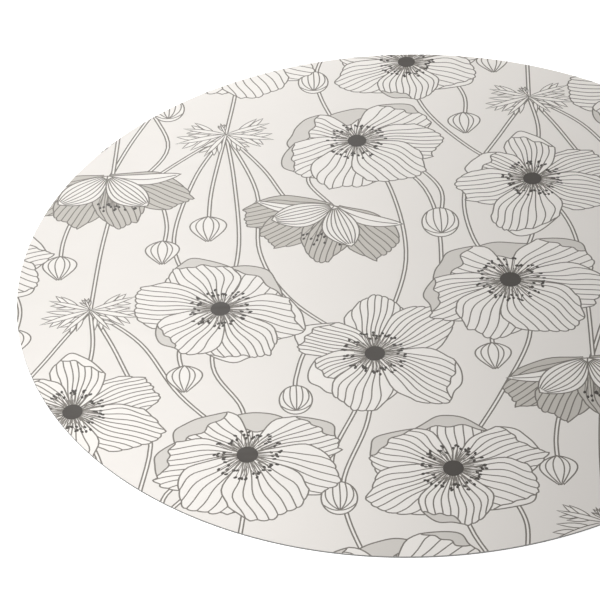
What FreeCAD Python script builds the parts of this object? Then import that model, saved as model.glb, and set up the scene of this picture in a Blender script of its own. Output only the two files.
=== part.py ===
"""Round office chair mat: six sheets bonded face to face into one thin, stiff, flat disc.

The origin is the centre of the underside, +Z points up, and lengths are in millimetres.
"""
import FreeCAD
import Part
import os

# Driving dimensions
MAT_DIAMETER = 1000.0
EDGE_BREAK = 0.12          # small bevel that the die leaves on the top and bottom edges

# The sheets from the floor upwards: node name and thickness
LAYERS = (
    ("anti_slip_backing", 0.30),
    ("foam_core", 0.85),
    ("glass_veil", 0.15),
    ("base_sheet", 0.50),
    ("decor_film", 0.10),
    ("wear_layer", 0.30),
)


def disc(bottom, thickness):
    """One flat round sheet, its underside at the given height."""
    return Part.makeCylinder(MAT_DIAMETER / 2, thickness, FreeCAD.Vector(0, 0, bottom))


def bevel_rim(sheet, height):
    """Bevel the round edge of the sheet that lies at the given height."""
    rim = [edge for edge in sheet.Edges
           if isinstance(edge.Curve, Part.Circle) and abs(edge.Curve.Center.z - height) < 1e-6]
    return sheet.makeChamfer(EDGE_BREAK, rim)


def build_sheets():
    """Stack the sheets, and bevel the outermost edges of the lowest and the highest one."""
    sheets = {}
    bottom = 0.0
    for name, thickness in LAYERS:
        sheets[name] = disc(bottom, thickness)
        bottom += thickness
    lowest = LAYERS[0][0]
    highest = LAYERS[-1][0]
    sheets[lowest] = bevel_rim(sheets[lowest], 0.0)
    sheets[highest] = bevel_rim(sheets[highest], bottom)
    return sheets


os.makedirs("parts", exist_ok=True)
for name, sheet in build_sheets().items():
    sheet.exportStep("parts/" + name + ".step")
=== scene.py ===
"""Looks of the round chair mat: a satin vinyl sheet with a printed line drawing of flowers.

Everything is in metres in the row's frame, except the drawing, which is worked out in millimetres.
The drawing comes from the functions below. Where its blooms, buds, leaves and stems lie is chosen by
hand, and their kinds and proportions follow the real mat's print: report.md says how closely.
"""

import cmath
import math
import random

import bmesh
import bpy
import numpy as np
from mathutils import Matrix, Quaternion, Vector
from mathutils.geometry import delaunay_2d_cdt


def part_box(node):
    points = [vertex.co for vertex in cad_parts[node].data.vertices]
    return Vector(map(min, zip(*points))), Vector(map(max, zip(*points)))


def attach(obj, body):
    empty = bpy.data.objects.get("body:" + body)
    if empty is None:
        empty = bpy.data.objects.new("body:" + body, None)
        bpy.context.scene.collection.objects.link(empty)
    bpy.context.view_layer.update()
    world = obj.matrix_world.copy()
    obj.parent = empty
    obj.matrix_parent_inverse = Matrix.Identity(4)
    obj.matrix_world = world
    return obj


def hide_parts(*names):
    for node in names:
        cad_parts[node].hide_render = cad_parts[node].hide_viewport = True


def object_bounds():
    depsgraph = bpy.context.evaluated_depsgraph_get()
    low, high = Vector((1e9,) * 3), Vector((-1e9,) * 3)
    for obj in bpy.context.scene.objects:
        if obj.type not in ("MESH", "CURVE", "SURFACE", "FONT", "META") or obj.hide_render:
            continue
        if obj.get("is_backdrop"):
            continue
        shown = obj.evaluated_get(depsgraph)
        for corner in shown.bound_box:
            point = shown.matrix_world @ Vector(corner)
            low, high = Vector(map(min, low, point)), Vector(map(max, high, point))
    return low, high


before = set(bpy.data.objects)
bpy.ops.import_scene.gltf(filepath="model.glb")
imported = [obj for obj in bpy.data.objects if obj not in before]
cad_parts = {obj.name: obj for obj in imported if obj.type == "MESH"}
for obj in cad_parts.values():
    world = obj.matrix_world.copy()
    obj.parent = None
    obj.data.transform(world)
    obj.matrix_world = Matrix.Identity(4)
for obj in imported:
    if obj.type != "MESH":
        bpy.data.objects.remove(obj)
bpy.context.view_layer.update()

MM = 0.001
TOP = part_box("wear_layer")[1].z
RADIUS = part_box("wear_layer")[1].x

# Print: line widths in millimetres
OUTLINE = 1.9
VEIN = 1.65
FILAMENT = 0.95
LEAF_LINE = 1.4
STEM_WIDTH = 6.2

# Points of the drawing closer than this are one point, in millimetres
SAME_PLACE = 1e-6

# The drawing's tones, from the film's own colour to the darkest ink
TONES = ("ground", "petal", "fold", "shade", "line", "ink")

# One repeat of the drawing, in millimetres. Every second column of repeats is shifted by half of one.
REPEAT_WIDTH = 600.0
REPEAT_HEIGHT = 840.0

# x, y of each bloom's centre, its kind, its turn in degrees, and its size
BLOOMS = (
    (90, 100, "leaning", -8, 112),
    (330, 60, "facing", 10, 106),
    (520, 190, "nodding", 12, 118),
    (250, 270, "windblown", 25, 110),
    (60, 370, "facing", -30, 110),
    (430, 400, "leaning", 5, 118),
    (200, 520, "nodding", -14, 118),
    (480, 610, "windblown", -40, 108),
    (250, 715, "leaning", 12, 112),
)

# x, y of each bud, its kind and its size
BUDS = (
    (350, 525, "round", 24),
    (395, 255, "pointed", 22),
    (15, 240, "pointed", 22),
    (195, 20, "round", 21),
    (45, 535, "pointed", 24),
    (590, 390, "round", 22),
    (400, 745, "pointed", 22),
    (150, 192, "round", 20),
    (585, 70, "pointed", 22),
    (452, 48, "pointed", 22),
)

# x, y of each whorl of leaves, and its size
WHORLS = (
    (70, 745, 68),
    (495, 800, 64),
)

# The stems, from one motif to another that hides their end
STEMS = (
    # from the blooms downwards
    ((330, 60), (345, -50), (400, -150), (470, -225)),
    ((250, 270), (235, 150), (200, 40), (215, -60), (250, -125)),
    ((60, 370), (50, 260), (85, 180), (90, 100)),
    ((430, 400), (445, 300), (400, 190), (340, 80)),
    ((480, 610), (470, 500), (430, 400)),
    ((250, 715), (290, 600), (300, 450), (260, 300)),
    # from the nodding blooms up and over
    ((512, 238), (545, 330), (590, 420), (660, 500)),
    ((212, 568), (180, 630), (205, 680), (245, 710)),
    # from the whorls up
    ((70, 745), (85, 850), (90, 940)),
    ((495, 800), (505, 920), (520, 1030)),
    # from the whorls down
    ((70, 745), (10, 690), (-60, 620)),
    ((70, 745), (25, 640), (0, 500), (40, 380)),
    ((70, 745), (80, 640), (85, 500), (70, 390)),
    ((70, 745), (120, 660), (150, 590), (190, 530)),
    ((495, 800), (500, 720), (485, 630)),
    ((495, 800), (560, 730), (610, 630), (680, 540)),
    ((495, 800), (450, 720), (390, 600), (390, 490), (425, 410)),
    ((495, 800), (535, 700), (575, 560), (560, 420), (590, 300), (540, 210)),
    # long ones between blooms
    ((70, 745), (110, 610), (112, 480), (150, 380), (230, 290)),
    ((250, 715), (335, 600), (345, 440), (315, 320), (265, 270)),
    ((480, 610), (520, 500), (522, 360), (515, 230)),
    # from the buds up
    ((350, 525), (355, 600), (310, 670), (250, 715)),
    ((395, 255), (400, 320), (430, 400)),
    ((15, 240), (10, 300), (50, 365)),
    ((195, 20), (190, 90), (225, 180), (250, 270)),
    ((45, 535), (50, 620), (70, 745)),
    ((590, 390), (595, 460), (660, 510)),
    ((400, 745), (405, 810), (380, 870), (335, 900)),
    ((150, 192), (152, 235), (172, 290), (230, 300)),
    ((585, 70), (590, 130), (575, 190), (530, 215)),
    ((452, 48), (455, 105), (470, 160), (505, 215)),
)


# ---------------------------------------------------------------- drawing

class Drawing:
    """Flat areas of one tone each, laid over each other in the order they are drawn.

    Points are complex numbers: x to the right, y away from the viewer.
    """

    def __init__(self):
        self.layers = {"stems": [], "leaves": [], "blooms": []}
        self.layer = "stems"

    def area(self, points, tone):
        """A filled area with that closed outline."""
        self.layers[self.layer].append((np.array(points), TONES.index(tone)))

    def line(self, points, width, tone="line"):
        """A line of even width, its corners mitred. It is closed if it ends where it starts."""
        closed = abs(points[0] - points[-1]) < SAME_PLACE
        last = len(points) - 1
        left, right = [], []
        for i, point in enumerate(points):
            before = points[i - 1] if i > 0 else points[-2] if closed else 2 * point - points[1]
            after = points[i + 1] if i < last else points[1] if closed else 2 * point - points[-2]
            along = unit(unit(point - before) + unit(after - point))
            mitre = 1 / max(0.6, abs((along.conjugate() * unit(after - point)).real))
            across = along * 1j * width / 2 * mitre
            left.append(point + across)
            right.append(point - across)
        self.area(right + left[::-1], tone)


def unit(vector):
    """The vector at length 1."""
    return vector / abs(vector) if abs(vector) > SAME_PLACE else 1


def curve(points, steps=6):
    """A smooth line through the points (Catmull-Rom)."""
    ends = [2 * points[0] - points[1], *points, 2 * points[-1] - points[-2]]
    made = []
    for a, b, c, d in zip(ends, ends[1:], ends[2:], ends[3:]):
        for i in range(steps):
            t = i / steps
            made.append(0.5 * (2 * b + (c - a) * t + (2 * a - 5 * b + 4 * c - d) * t * t
                               + (3 * b - a - 3 * c + d) * t ** 3))
    return [*made, points[-1]]


def spread(low, high, count):
    """Evenly spaced values from low to high."""
    return [low + (high - low) * i / (count - 1) for i in range(count)]


def oval(centre, half_x, half_y, turn, count):
    """The points of an ellipse."""
    heading = cmath.rect(1, turn)
    return [centre + heading * complex(half_x * math.cos(a), half_y * math.sin(a))
            for a in (math.tau * i / count for i in range(count))]


class Petal:
    """The shape of one petal: its outline and the way its veins run."""

    # Shares of the petal's length
    REACH = 0.97        # from the centre to the middle of the tip edge
    SLOPE = 0.30        # how far the tip edge falls back at the sides
    SCALLOP = 0.026     # how far it bulges between two veins
    NUB = 0.055         # height of its one small point
    WAVE = 0.034
    RIPPLE = 0.008
    # Share of the length at which the petal is widest
    WIDEST = 0.82

    def __init__(self, centre, turn, length, width, bend, veins, dice):
        self.centre = centre
        self.heading = cmath.rect(1, turn)
        self.length = length
        self.width = width
        self.bend = bend
        self.gaps = veins + 1
        self.wave, self.ripple, self.side, self.sway = (dice.uniform(0, math.tau) for _ in range(4))
        self.deep = [dice.uniform(0.3, 1.0) for _ in range(self.gaps)]
        self.nub = dice.choice((-1, 1)) * dice.uniform(0.3, 0.8)
        # The rolled strip of the tip edge, which has no bulges. The edge runs from -1 to 1: here none is.
        self.smooth = (2, 2)

    def reach(self, t):
        """How far the tip edge is from the centre, across the petal from -1 to 1."""
        rolled = self.smooth[0] - 0.1 < t < self.smooth[1] + 0.1
        share = (t + 1) / 2 * self.gaps
        gap = min(self.gaps - 1, int(share))
        bulge = 0.0 if rolled else self.SCALLOP * self.deep[gap] * abs(math.sin(math.pi * share)) ** 0.7
        point = 0.0 if rolled else self.NUB * max(0.0, 1 - abs(t - self.nub) / 0.15)
        wave = self.WAVE * math.sin(4.2 * t + self.wave) + self.RIPPLE * math.sin(9 * t + self.ripple)
        return self.length * (self.REACH - self.SLOPE * abs(t) ** 2.4 + wave + bulge + point)

    def place(self, s, t):
        """The point at share s of the way from the centre to the tip edge."""
        along = s * self.reach(t)
        swell = math.sin(math.pi / 2 * min(1.0, s / self.WIDEST)) ** 1.2
        half = self.width / 2 * (0.10 + 0.90 * swell) * (1 + 0.04 * math.sin(9 * s + self.side))
        lean = self.bend * self.length * (along / self.length) ** 2
        return self.centre + self.heading * complex(along, t * half + lean)

    def vein(self, number, start):
        """One vein, from near the centre to a notch of the tip edge. Neighbours sway together."""
        t = -1 + 2 * number / self.gaps
        points = []
        for s in spread(start, 1, 14):
            swing = 0.075 * math.sin(math.pi * s) * math.sin(6.5 * s + self.sway + 0.35 * number)
            points.append(self.place(s, t + swing) if s < 1 else self.place(1, t))
        return points

    def outline(self):
        side = spread(0.04, 1, 11)
        tip = spread(-1, 1, 4 * self.gaps + 1)
        edge = [self.place(s, -1) for s in side] + [self.place(1, t) for t in tip[1:-1]]
        return edge + [self.place(s, 1) for s in reversed(side)]


def petal(art, centre, turn, length, width, dice, tone="petal", bend=0.0, fold=None, veins=8):
    """One petal with its veins. fold says which strip of its tip is folded over: from, to, depth, tone."""
    shape = Petal(centre, turn, length, width, bend, veins, dice)
    if fold:
        shape.smooth = fold[:2]
    edge = shape.outline()
    art.area(edge, tone)
    for number in range(1, veins + 1):
        art.line(shape.vein(number, 0.1 if number % 2 else 0.16), VEIN)
    art.line(edge, OUTLINE)
    if fold:
        first, last, depth, fold_tone = fold
        inner = []
        for t in spread(first, last, 23):
            share = (t - first) / (last - first)
            dip = abs(math.sin(math.pi * share)) ** 0.6 * (1 + 0.13 * math.sin(17 * share + shape.ripple))
            inner.append(shape.place(1 - depth * dip, t))
        outer = [shape.place(1, t) for t in spread(first, last, 23)]
        art.area(outer + inner[-2:0:-1], fold_tone)
        art.line(outer, OUTLINE)
        art.line(inner, OUTLINE)


def shell(art, base, turn, length, width, bend, veins=5):
    """A cupped petal seen from outside: its veins part at its foot and close up again at its tip."""
    heading = cmath.rect(1, turn)

    def place(s, t):
        half = width / 2 * abs(math.sin(math.pi * s ** 1.15)) ** 0.75
        return base + heading * complex(s * length, t * half + bend * length * math.sin(math.pi * s))

    sides = [[place(s, t) for s in spread(0, 1, 17)] for t in spread(-1, 1, veins + 2)]
    edge = sides[0] + sides[-1][-2::-1]
    art.area(edge, "petal")
    for vein in sides[1:-1]:
        art.line(vein[1:-1], VEIN)
    art.line(edge, OUTLINE)


# Distances of a bloom's anthers from its centre, as shares of its size
ANTHER_RINGS = (0.26, 0.31, 0.355)


def stamens(art, centre, size, dice, count=66):
    """A ring of fine filaments with dark anthers round a dark centre."""
    near = 0.1 * size
    for i in range(count // 3):
        angle = math.tau * (i + 0.5) / (count // 3)
        short = dice.uniform(0.17, 0.24) * size
        art.line([centre + cmath.rect(s, angle) for s in (near, short)], FILAMENT)
    for i in range(count):
        angle = math.tau * (i + dice.uniform(-0.35, 0.35)) / count
        far = size * dice.choice(ANTHER_RINGS) * dice.uniform(0.95, 1.05)
        sway = dice.uniform(-0.2, 0.2)
        points = [centre + cmath.rect(s, angle + sway * (s / far) ** 2)
                  for s in spread(near, far, 4)]
        art.line(points, FILAMENT)
        anther(art, points[-1], angle + dice.uniform(-0.8, 0.8))
    art.area(oval(centre, 0.115 * size, 0.125 * size, 0, 24), "ink")


def anther(art, place, turn):
    """The dark end of a filament."""
    art.area(oval(place, 2.7, 1.8, turn, 8), "ink")


# Petals from the back to the front: angle, length, width, bend, fold
OPEN_BLOOMS = {
    "leaning": (
        (92, 0.66, 1.05, 0.00, (-0.98, 0.98, 0.42, "fold")),
        (148, 0.86, 0.84, 0.08, (-0.98, 0.80, 0.26, "fold")),
        (28, 1.02, 0.80, -0.08, (-0.10, 0.98, 0.16, "fold")),
        (196, 1.04, 0.76, 0.05, (-0.98, 0.20, 0.16, "fold")),
        (338, 1.04, 0.80, 0.03, None),
        (246, 0.98, 0.88, -0.03, None),
        (294, 1.02, 0.88, 0.04, None),
    ),
    "facing": (
        (80, 0.86, 0.96, 0.03, (-0.95, 0.95, 0.20, "fold")),
        (140, 1.00, 0.86, 0.06, (-0.95, 0.40, 0.16, "fold")),
        (12, 1.04, 0.82, -0.05, (-0.20, 0.95, 0.12, "petal")),
        (202, 1.04, 0.80, -0.04, None),
        (318, 1.00, 0.86, 0.05, (-0.95, 0.00, 0.12, "petal")),
        (260, 0.90, 0.80, -0.03, (-0.95, 0.10, 0.15, "fold")),
    ),
    "windblown": (
        (66, 1.00, 0.68, -0.12, None),
        (122, 0.98, 0.62, 0.14, (-0.95, 0.60, 0.15, "petal")),
        (186, 0.88, 0.66, 0.08, (-0.95, 0.95, 0.24, "petal")),
        (8, 1.08, 0.76, 0.08, None),
        (236, 0.96, 0.74, -0.10, None),
        (302, 1.16, 0.84, -0.12, (-0.30, 0.95, 0.12, "petal")),
    ),
}

# The shaded inner petals of a bloom seen from the side, from the back to the front:
# angle from the way it hangs, length, width, bend
HANGING_BACK = (
    (-74, 1.06, 0.56, 0.10),
    (-42, 1.00, 0.58, 0.04),
    (50, 1.08, 0.62, -0.08),
    (2, 1.00, 0.56, 0.00),
)

# Its pale outer petals: angle, length, width, bend
HANGING_FRONT = (
    (-86, 0.90, 0.16, 0.12),
    (76, 0.84, 0.20, -0.10),
    (-60, 0.74, 0.42, 0.05),
    (26, 0.76, 0.40, -0.05),
)

# How many stamens it shows
HANGING_STAMENS = 17


def open_bloom(art, centre, kind, turn, size, dice):
    """A bloom seen from the front, with its petals laid round the ring of stamens."""
    for angle, length, width, bend, fold in OPEN_BLOOMS[kind]:
        petal(art, centre, math.radians(angle) + turn, length * size, width * size, dice,
              bend=bend, fold=fold, veins=dice.choice((7, 8, 9)))
    stamens(art, centre, size, dice)


def nodding_bloom(art, centre, turn, size, dice):
    """A bloom seen from the side: shaded inner petals hang behind the stamens, pale ones fall in front."""
    down = turn - math.pi / 2
    root = centre - cmath.rect(0.45 * size, down)
    for angle, length, width, bend in HANGING_BACK:
        petal(art, root, down + math.radians(angle), length * size, width * size, dice,
              tone="shade", bend=bend, veins=7)
    for _ in range(HANGING_STAMENS):
        angle = down + dice.uniform(-0.42, 0.30)
        far = size * dice.uniform(0.52, 0.74)
        art.line([root + cmath.rect(s, angle) for s in spread(0.1 * size, far, 3)], FILAMENT)
        anther(art, root + cmath.rect(far, angle), angle)
    for angle, length, width, bend in HANGING_FRONT:
        shell(art, root, down + math.radians(angle), length * size, width * size, bend,
              veins=1 if width < 0.3 else 6)


def bloom(art, centre, kind, turn, size, dice):
    """A bloom of any kind."""
    if kind == "nodding":
        nodding_bloom(art, centre, turn, size, dice)
    else:
        open_bloom(art, centre, kind, turn, size, dice)


def stem(art, points):
    """A stem: two fine lines with a pale strip between them."""
    middle = curve(points, 8)
    art.line(middle, STEM_WIDTH, "petal")
    for side in (-1, 1):
        edge = []
        for i, point in enumerate(middle):
            along = unit(middle[min(i + 1, len(middle) - 1)] - middle[max(i - 1, 0)])
            edge.append(point + along * 1j * side * (STEM_WIDTH - OUTLINE) / 2)
        art.line(edge, OUTLINE)


# Where the ribs of a round bud start, across its crown from -1 to 1
RIB_STARTS = (-0.62, -0.28, 0.05, 0.36, 0.66)


def round_bud(art, centre, size):
    """A closed bud: ribs run from its crown to a point just above its foot."""
    tall = size * 1.28
    globe = oval(centre, size, tall, 0, 36)
    foot = centre - 0.74j * tall
    art.area(globe, "petal")
    for start in RIB_STARTS:
        crown = centre + complex(size * start, tall * math.sqrt(1 - start * start))
        flank = centre + complex(size * start * 1.75, -0.15 * tall)
        art.line(arc(crown, flank, foot, 11), VEIN)
    for side in (-1, 1):
        lip = centre + complex(side * size * 0.93, -0.36 * tall)
        sag = centre + complex(side * size * 0.45, -0.78 * tall)
        art.line(arc(lip, sag, foot, 7), VEIN)
    art.line(globe + globe[:1], OUTLINE)


def arc(start, pull, end, count):
    """A curve from start to end that bends towards pull."""
    return [(1 - t) ** 2 * start + 2 * t * (1 - t) * pull + t * t * end for t in spread(0, 1, count)]


# The petals of a pointed bud, back to front: how far each side bulges, and how far out its tip is
BUD_PETALS = (
    (-1.0, 0.1, -0.14),
    (0.1, 1.0, 0.14),
    (-0.68, 0.2, -0.05),
    (0.0, 0.60, 0.04),
    (-0.28, 0.30, 0.0),
)


def pointed_bud(art, centre, size):
    """A bud about to open: petals laid over each other from its crown to its pointed foot."""
    tall = size * 1.1

    def side(bulge, tip):
        return [centre + complex(size * (bulge * math.sin(math.pi * t) + tip * t ** 4),
                                 tall * (1 - 2 * t ** 1.4)) for t in spread(0, 1, 15)]

    for left, right, tip in BUD_PETALS:
        outermost = max(-left, right) == 1
        edge = side(left, tip) + side(right, tip)[-2:0:-1]
        art.area(edge, "petal")
        art.line(edge + edge[:1], OUTLINE if outermost else VEIN)


def lance(base, turn, length, width):
    """The outline of a narrow pointed lobe."""
    heading = cmath.rect(1, turn)
    shares = spread(0, 1, 7)
    halves = [width / 2 * math.sin(math.pi * s ** 0.9) for s in shares[1:-1]]
    near = [complex(s * length, -h) for s, h in zip(shares[1:-1], halves)]
    far = [p.conjugate() for p in reversed(near)]
    return [base + heading * p for p in [0, *near, length, *far]]


# The pairs of side lobes of a leaf: where they start and how far they reach, as shares of its length
LOBE_PAIRS = (
    (0.26, 0.56),
    (0.52, 0.42),
)


def leaf(art, base, turn, length, dice):
    """A feathery leaf: pairs of narrow lobes from its tip back to its foot, then the middle one."""
    lobes = [(base, turn, length, 0.12 * length)]
    for share, reach in LOBE_PAIRS:
        start = base + cmath.rect(share * length, turn)
        for side in (-1, 1):
            angle = turn + side * math.radians(27 + dice.uniform(-6, 6))
            lobes.append((start, angle, reach * length * dice.uniform(0.85, 1.12), 0.11 * length))
    for start, angle, reach, width in reversed(lobes):
        edge = lance(start, angle, reach, width)
        art.area(edge, "petal")
        art.line(edge + edge[:1], LEAF_LINE)


# The leaves of a whorl: angle, length
WHORL_LEAVES = (
    (108, 0.4),
    (20, 0.95),
    (162, 0.9),
    (-58, 0.75),
    (236, 0.85),
    (-16, 1.0),
    (198, 1.05),
)


def whorl(art, node, size, dice):
    """Feathery leaves round one point of a stem."""
    for angle, length in WHORL_LEAVES:
        leaf(art, node, math.radians(angle + dice.uniform(-6, 6)), size * length, dice)


def draw_repeat():
    """One repeat of the drawing."""
    art = Drawing()
    dice = random.Random(7)
    for points in STEMS:
        stem(art, [complex(*p) for p in points])
    art.layer = "leaves"
    for x, y, size in WHORLS:
        whorl(art, complex(x, y), size, dice)
    for x, y, kind, size in BUDS:
        draw_bud = round_bud if kind == "round" else pointed_bud
        draw_bud(art, complex(x, y), size)
    art.layer = "blooms"
    for x, y, kind, turn, size in BLOOMS:
        bloom(art, complex(x, y), kind, math.radians(turn), size, dice)
    return art


def lay_repeats(art, radius):
    """The areas of all repeats that reach the round sheet, in drawing order."""
    laid = []
    for layer in art.layers.values():
        for column in range(-2, 3):
            for row in range(-2, 3):
                shift = complex(column * REPEAT_WIDTH, (row + 0.5 * (column % 2)) * REPEAT_HEIGHT)
                shift -= complex(REPEAT_WIDTH, REPEAT_HEIGHT) / 2
                for points, tone in layer:
                    if abs(points + shift).min() < radius:
                        laid.append((points + shift, tone))
    return laid


def windings(places, outline):
    """How many times a closed outline goes round each place: 0 outside it."""
    start = outline[None, :]
    end = np.roll(outline, -1)[None, :]
    spot = places[:, None]
    rises = (start.imag <= spot.imag) & (end.imag > spot.imag)
    falls = (start.imag > spot.imag) & (end.imag <= spot.imag)
    side = ((end - start).conj() * (spot - start)).imag
    return (rises & (side > 0)).sum(1) - (falls & (side < 0)).sum(1)


def tones_at(places, areas):
    """The tone that shows at each place: that of the last area drawn over it."""
    order = np.argsort(places.real)
    x = places.real[order]
    shown = np.zeros(len(places), int)
    for outline, tone in areas:
        first, last = np.searchsorted(x, (outline.real.min(), outline.real.max()))
        near = order[first:last]
        height = places.imag[near]
        near = near[(height > outline.imag.min()) & (height < outline.imag.max())]
        shown[near[windings(places[near], outline) != 0]] = tone
    return shown


# ---------------------------------------------------------------- sheets

RIM_POINTS = 720
EDGE_ROUND = 0.12 * MM

# Corners of the cut closer than this are joined, in millimetres
JOIN_WITHIN = 0.002

# Holes in the cut with no more edges than this are filled
SMALL_HOLE = 4

# Keeps the triangles inside the outermost edges only
INSIDE_EDGES = 1

# How many places are tested against the rim at a time
SLICE = 5000


def rim_circle(radius):
    """The points of the round rim, as complex numbers."""
    return [cmath.rect(radius, math.tau * i / RIM_POINTS) for i in range(RIM_POINTS)]


def cut_along(corners, edges):
    """Divides the plane into triangles along the edges: the corners and the triangles."""
    corners = [Vector((p.real, p.imag)) for p in corners]
    corners, _, triangles = delaunay_2d_cdt(corners, edges, [], INSIDE_EDGES, JOIN_WITHIN, False)[:3]
    return np.array([complex(*c) for c in corners]), np.array(triangles)


def closed_edges(outlines):
    """The corners of closed outlines and the edges between them."""
    edges = []
    first = 0
    for outline in outlines:
        count = len(outline)
        edges += [(first + i, first + (i + 1) % count) for i in range(count)]
        first += count
    return np.concatenate(outlines), edges


def borders(triangles, tones):
    """The edges with a different tone on each side, or with nothing on one side."""
    edges = np.sort(triangles[:, [0, 1, 1, 2, 2, 0]].reshape(-1, 2), axis=1)
    tones = np.repeat(tones, 3)
    order = np.lexsort(edges.T)
    edges = edges[order]
    tones = tones[order]
    twin = (edges[1:] == edges[:-1]).all(1)
    kept = np.ones(len(edges), bool)
    kept[1:] &= ~twin
    kept[:-1] &= ~(twin & (tones[1:] == tones[:-1]))
    return edges[kept]


def printed_faces(radius):
    """Cuts the round top into triangles of one tone each: corners, triangles, tone of each triangle.

    The first cut follows every outline drawn. The second follows only the borders that show.
    """
    rim = np.array(rim_circle(radius / MM))
    areas = lay_repeats(draw_repeat(), radius / MM)
    points, edges = closed_edges([rim] + [outline for outline, _ in areas])
    for _ in range(2):
        corners, triangles = cut_along(points, edges)
        triangles = triangles[within(corners[triangles].mean(1), rim)]
        tones = tones_at(corners[triangles].mean(1), areas)
        used, numbers = np.unique(borders(triangles, tones), return_inverse=True)
        points = corners[used]
        edges = numbers.reshape(-1, 2).tolist()
    return corners * MM, triangles, tones


def within(places, outline):
    """True for each place inside an outline of many points, worked out a slice at a time."""
    slices = np.array_split(places, max(1, len(places) // SLICE))
    return np.concatenate([windings(s, outline) != 0 for s in slices])


def printed_sheet(name, low, high, materials):
    """The wear layer with the printed film under it: one closed slab, its top divided into the tones."""
    corners, triangles, tones = printed_faces(RADIUS - EDGE_ROUND)
    mesh = bpy.data.meshes.new(name)
    used, numbers = np.unique(triangles, return_inverse=True)
    mesh.from_pydata([(p.real, p.imag, high) for p in corners[used]], [],
                     numbers.reshape(-1, 3).tolist())
    mesh.polygons.foreach_set("material_index", tones)
    work = bmesh.new()
    work.from_mesh(mesh)
    bmesh.ops.remove_doubles(work, verts=work.verts, dist=JOIN_WITHIN * MM)
    # Slivers at the rim whose middle counts as outside it are missing, so those small holes are filled
    bmesh.ops.holes_fill(work, edges=[e for e in work.edges if e.is_boundary], sides=SMALL_HOLE)
    rim = [e for e in work.edges if e.is_boundary]
    for radius, height in ((RADIUS - 0.3 * EDGE_ROUND, high - 0.3 * EDGE_ROUND),
                           (RADIUS, high - EDGE_ROUND), (RADIUS, low)):
        grown = bmesh.ops.extrude_edge_only(work, edges=rim)["geom"]
        for face in grown:
            if isinstance(face, bmesh.types.BMFace):
                face.material_index = len(TONES)
        rim = [e for e in grown if isinstance(e, bmesh.types.BMEdge) and e.is_boundary]
        for vertex in {v for e in rim for v in e.verts}:
            flat = Vector((vertex.co.x, vertex.co.y)).normalized() * radius
            vertex.co = (flat.x, flat.y, height)
    for face in bmesh.ops.holes_fill(work, edges=rim)["faces"]:
        face.material_index = len(TONES)
    bmesh.ops.recalc_face_normals(work, faces=work.faces)
    work.to_mesh(mesh)
    work.free()
    for material in materials:
        mesh.materials.append(material)
    return place_piece(name, mesh)


def cut_sheet(name, low, high, inset, material):
    """One of the sheets under the print: a disc whose cut edge stands back by inset."""
    mesh = bpy.data.meshes.new(name)
    work = bmesh.new()
    rings = []
    for height in (low, high):
        rings.append([work.verts.new((p.real, p.imag, height)) for p in rim_circle(RADIUS - inset)])
    work.faces.new(rings[0][::-1])
    work.faces.new(rings[1])
    for i in range(RIM_POINTS):
        j = (i + 1) % RIM_POINTS
        work.faces.new((rings[0][i], rings[0][j], rings[1][j], rings[1][i]))
    work.to_mesh(mesh)
    work.free()
    mesh.materials.append(material)
    return place_piece(name, mesh)


def place_piece(name, mesh):
    """An object of that mesh in the scene."""
    piece = bpy.data.objects.new(name, mesh)
    bpy.context.scene.collection.objects.link(piece)
    return piece


# ---------------------------------------------------------------- materials

def plain_material(name, color, roughness):
    """A material of one colour and roughness, to which nodes are added."""
    material = bpy.data.materials.new(name)
    material.use_nodes = True
    shader = material.node_tree.nodes["Principled BSDF"]
    shader.inputs["Base Color"].default_value = (*color, 1)
    shader.inputs["Roughness"].default_value = roughness
    return material


class Nodes:
    """The nodes of one material, added by short calls."""

    def __init__(self, material):
        self.tree = material.node_tree
        self.shader = self.tree.nodes["Principled BSDF"]
        self.place = self.tree.nodes.new("ShaderNodeTexCoord").outputs["Object"]

    def add(self, kind, output, settings=None, **inputs):
        """A node: its inputs take values or other nodes' outputs."""
        node = self.tree.nodes.new("ShaderNode" + kind)
        for name, value in (settings or {}).items():
            setattr(node, name, value)
        for name, value in inputs.items():
            socket = node.inputs[name.replace("_", " ")]
            if isinstance(value, bpy.types.NodeSocket):
                self.tree.links.new(value, socket)
            else:
                socket.default_value = value
        return node.outputs[output]

    def noise(self, size, detail=2, stretch=(1, 1, 1)):
        """Soft noise whose spots are about that size in metres."""
        place = self.add("Mapping", "Vector", Vector=self.place, Scale=stretch)
        return self.add("TexNoise", "Fac", Vector=place, Scale=1 / size, Detail=detail)

    def cells(self, size, output="Distance", feature="F1"):
        """Rounded cells of that size in metres."""
        return self.add("TexVoronoi", output, {"feature": feature}, Vector=self.place, Scale=1 / size)

    def between(self, value, low, high, low_in=0.3, high_in=0.7):
        """The value stretched from low to high."""
        return self.add("MapRange", "Result", Value=value, From_Min=low_in, From_Max=high_in,
                        To_Min=low, To_Max=high)

    def bump(self, height, depth, strength, under=None):
        """Bumps of that depth in metres, on top of other bumps."""
        inputs = {"Height": height, "Distance": depth, "Strength": strength}
        if under:
            inputs["Normal"] = under
        return self.add("Bump", "Normal", **inputs)

    def shades(self, value, dark, light):
        """A colour between dark and light."""
        mixed = self.add("Mix", "Result", {"data_type": "RGBA"})
        mix = mixed.node
        self.tree.links.new(value, mix.inputs["Factor"])
        mix.inputs[6].default_value = (*dark, 1)
        mix.inputs[7].default_value = (*light, 1)
        return mix.outputs[2]

    def set(self, **outputs):
        """Links outputs to the shader."""
        for name, output in outputs.items():
            self.tree.links.new(output, self.shader.inputs[name.replace("_", " ")])


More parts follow.
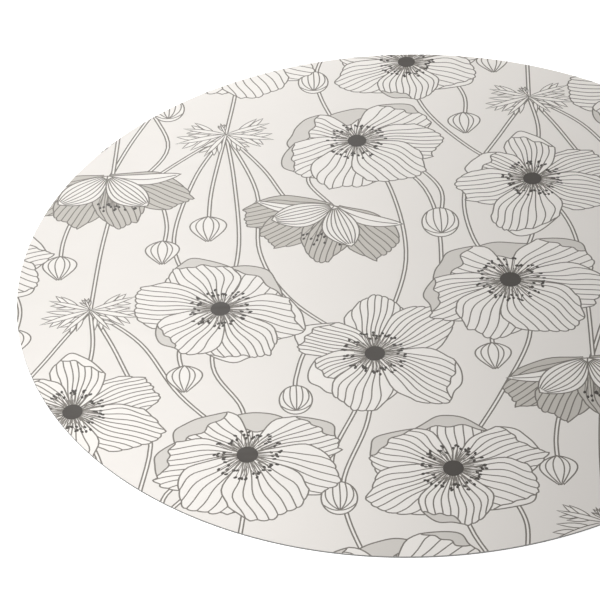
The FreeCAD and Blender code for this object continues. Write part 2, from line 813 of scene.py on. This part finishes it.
def printed_material(name, color):
    """Ink under a satin wear layer: a fine embossed grain, a faint ripple, and rubbed streaks."""
    material = plain_material(name, color, 0.5)
    nodes = Nodes(material)
    nodes.shader.inputs["Specular IOR Level"].default_value = 0.3
    streaks = nodes.noise(0.05, 3, (1, 7, 1))
    grain = nodes.noise(0.0007, 2)
    ripple = nodes.noise(0.03, 1)
    embossed = nodes.bump(grain, 0.03 * MM, 0.5)
    nodes.set(Roughness=nodes.between(streaks, 0.44, 0.54),
              Normal=nodes.bump(ripple, 0.15 * MM, 0.35, embossed))
    return material


def cut_edge_painted_shade_material():
    """The cut edge of the clear wear layer and the film: smooth, with the marks of the knife. Its dark
    grey is painted shade.
    """
    # The dark grey here is painted shade on the rim's side, not the colour of clear vinyl over white film
    material = plain_material("wear_edge_painted_shade", (0.22, 0.215, 0.205), 0.3)
    nodes = Nodes(material)
    marks = nodes.noise(0.004, 3, (1, 1, 0.1))
    nodes.set(Roughness=nodes.between(marks, 0.24, 0.42), Normal=nodes.bump(marks, 0.05 * MM, 0.3))
    return material


def base_material():
    """Solid grey vinyl, cut with a knife. Its dark grey is partly painted shade for the cut rim."""
    material = plain_material("base_vinyl", (0.2, 0.197, 0.19), 0.5)
    nodes = Nodes(material)
    marks = nodes.noise(0.003, 4, (1, 1, 0.15))
    filler = nodes.noise(0.0006, 2)
    nodes.set(Base_Color=nodes.shades(filler, (0.16, 0.157, 0.15), (0.24, 0.237, 0.228)),
              Roughness=nodes.between(marks, 0.42, 0.62), Normal=nodes.bump(marks, 0.06 * MM, 0.4))
    return material


def veil_material():
    """A thin felt of glass fibres: pale threads in dark resin. Its dark tones are partly painted shade for
    the cut rim.
    """
    material = plain_material("veil", (0.28, 0.28, 0.27), 0.6)
    nodes = Nodes(material)
    threads = nodes.noise(0.0008, 4, (1, 1, 6))
    nodes.set(Base_Color=nodes.shades(nodes.between(threads, 0, 1), (0.15, 0.15, 0.14),
                                      (0.42, 0.42, 0.40)),
              Roughness=nodes.between(threads, 0.5, 0.8), Normal=nodes.bump(threads, 0.08 * MM, 0.6))
    return material


def foam_material():
    """Foamed vinyl: fine closed cells, cut open at the edge. Its dark grey is partly painted shade for the
    cut rim.
    """
    material = plain_material("foam", (0.15, 0.15, 0.148), 0.85)
    nodes = Nodes(material)
    cells = nodes.cells(0.0006)
    nodes.set(Base_Color=nodes.shades(nodes.between(cells, 0, 1, 0.0, 0.6), (0.08, 0.08, 0.08),
                                      (0.20, 0.20, 0.195)),
              Roughness=nodes.between(cells, 0.75, 0.95, 0.0, 0.6),
              Normal=nodes.bump(cells, 0.15 * MM, 0.7))
    return material


def backing_material():
    """Soft dark vinyl with a fine pebbled texture that grips the floor. Its dark tone is partly painted
    shade for the cut rim.
    """
    material = plain_material("backing", (0.1, 0.1, 0.1), 0.8)
    nodes = Nodes(material)
    pebbles = nodes.cells(0.0022, feature="SMOOTH_F1")
    dust = nodes.noise(0.12, 4)
    nodes.set(Base_Color=nodes.shades(nodes.between(dust, 0, 1), (0.085, 0.085, 0.084),
                                      (0.125, 0.124, 0.12)),
              Roughness=nodes.between(pebbles, 0.6, 0.9, 0.0, 0.6),
              Normal=nodes.bump(pebbles, 0.3 * MM, 0.8))
    return material


PRINT_COLORS = {
    "ground": (0.73, 0.698, 0.662),
    "petal": (0.772, 0.741, 0.704),
    "fold": (0.585, 0.557, 0.52),
    "shade": (0.49, 0.463, 0.422),
    "line": (0.17, 0.155, 0.136),
    "ink": (0.052, 0.045, 0.038),
}

print_materials = [printed_material("print_" + tone, PRINT_COLORS[tone]) for tone in TONES]
sheet = printed_sheet("printed_sheet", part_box("decor_film")[0].z, TOP,
                      [*print_materials, cut_edge_painted_shade_material()])
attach(sheet, "root")
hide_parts("wear_layer", "decor_film")

# Their dark colours are partly painted shade, so that the layered rim shows as a thin dark line.
# The sheets under the print: CAD node, how far its cut edge stands back in millimetres, material, slot
UNDER_SHEETS = (
    ("base_sheet", 0.05, base_material(), "base_vinyl"),
    ("glass_veil", 0.12, veil_material(), "veil"),
    ("foam_core", 0.16, foam_material(), "foam"),
    ("anti_slip_backing", 0.10, backing_material(), "backing"),
)
for node, inset, material, slot in UNDER_SHEETS:
    low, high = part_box(node)
    piece = cut_sheet(node + "_cut", low.z, high.z, inset * MM, material)
    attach(piece, "root")
    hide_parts(node)


# ---------------------------------------------------------------- stage

def floor():
    """A plain pale floor that reaches past the horizon."""
    mesh = bpy.data.meshes.new("floor")
    half = 60.0
    mesh.from_pydata([(-half, -half, 0), (half, -half, 0), (half, half, 0), (-half, half, 0)], [],
                     [(0, 1, 2, 3)])
    material = plain_material("floor", (0.9, 0.9, 0.9), 0.9)
    shader = material.node_tree.nodes["Principled BSDF"]
    shader.inputs["Emission Color"].default_value = (1, 1, 1, 1)
    shader.inputs["Emission Strength"].default_value = 0.55
    mesh.materials.append(material)
    place_piece("floor", mesh)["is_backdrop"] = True


def area_light(name, place, aim, size, power, spread_angle):
    """A round softbox that points at a place on the floor."""
    data = bpy.data.lights.new(name, "AREA")
    data.shape = "DISK"
    data.size = size
    data.spread = math.radians(spread_angle)
    data.energy = power
    lamp = bpy.data.objects.new(name, data)
    lamp.location = place
    lamp.rotation_euler = (Vector(aim) - Vector(place)).to_track_quat("-Z", "Y").to_euler()
    bpy.context.scene.collection.objects.link(lamp)


def studio_world():
    """Soft light from all round, with a bright pale wall low down behind everything."""
    world = bpy.data.worlds.new("world")
    world.use_nodes = True
    tree = world.node_tree
    background = tree.nodes["Background"]
    place = tree.nodes.new("ShaderNodeTexCoord")
    parts = tree.nodes.new("ShaderNodeSeparateXYZ")
    fade = tree.nodes.new("ShaderNodeMapRange")
    wall_top = math.radians(6)
    fade_end = math.radians(16)
    fade.inputs["From Min"].default_value = math.sin(wall_top)
    fade.inputs["From Max"].default_value = math.sin(fade_end)
    fade.inputs["To Min"].default_value = 0.98
    fade.inputs["To Max"].default_value = 0.48
    tree.links.new(place.outputs["Generated"], parts.inputs["Vector"])
    tree.links.new(parts.outputs["Z"], fade.inputs["Value"])
    tree.links.new(fade.outputs["Result"], background.inputs["Strength"])
    background.inputs["Color"].default_value = (1, 1, 1, 1)
    bpy.context.scene.world = world


def camera():
    """The camera stands in front of the mat, left of its middle, and is rolled by a few degrees."""
    data = bpy.data.cameras.new("camera")
    data.sensor_width = 36
    data.lens = 145.6
    eye = bpy.data.objects.new("camera", data)
    eye.location = (-0.139, -2.403, 1.970)
    pitch = math.radians(39.79)
    roll = math.radians(2.83)
    look = Vector((0, math.cos(pitch), -math.sin(pitch)))
    turn = look.to_track_quat("-Z", "Y")
    eye.rotation_mode = "QUATERNION"
    eye.rotation_quaternion = turn @ Quaternion((0, 0, 1), -roll)
    bpy.context.scene.collection.objects.link(eye)
    bpy.context.scene.camera = eye


floor()
area_light("back_softbox", place=(-0.5, 1.6, 1.4), aim=(-0.3, 1.0, 0),
           size=1.2, power=8.7, spread_angle=90)
area_light("front_softbox", place=(-0.6, -0.9, 1.2), aim=(-0.5, -0.5, 0),
           size=0.8, power=1.9, spread_angle=70)
area_light("left_softbox", place=(-0.6, -0.2, 1.0), aim=(-0.6, -0.1, 0),
           size=1.2, power=0.6, spread_angle=50)
studio_world()
bpy.context.scene.view_settings.view_transform = "Standard"
camera()

low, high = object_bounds()
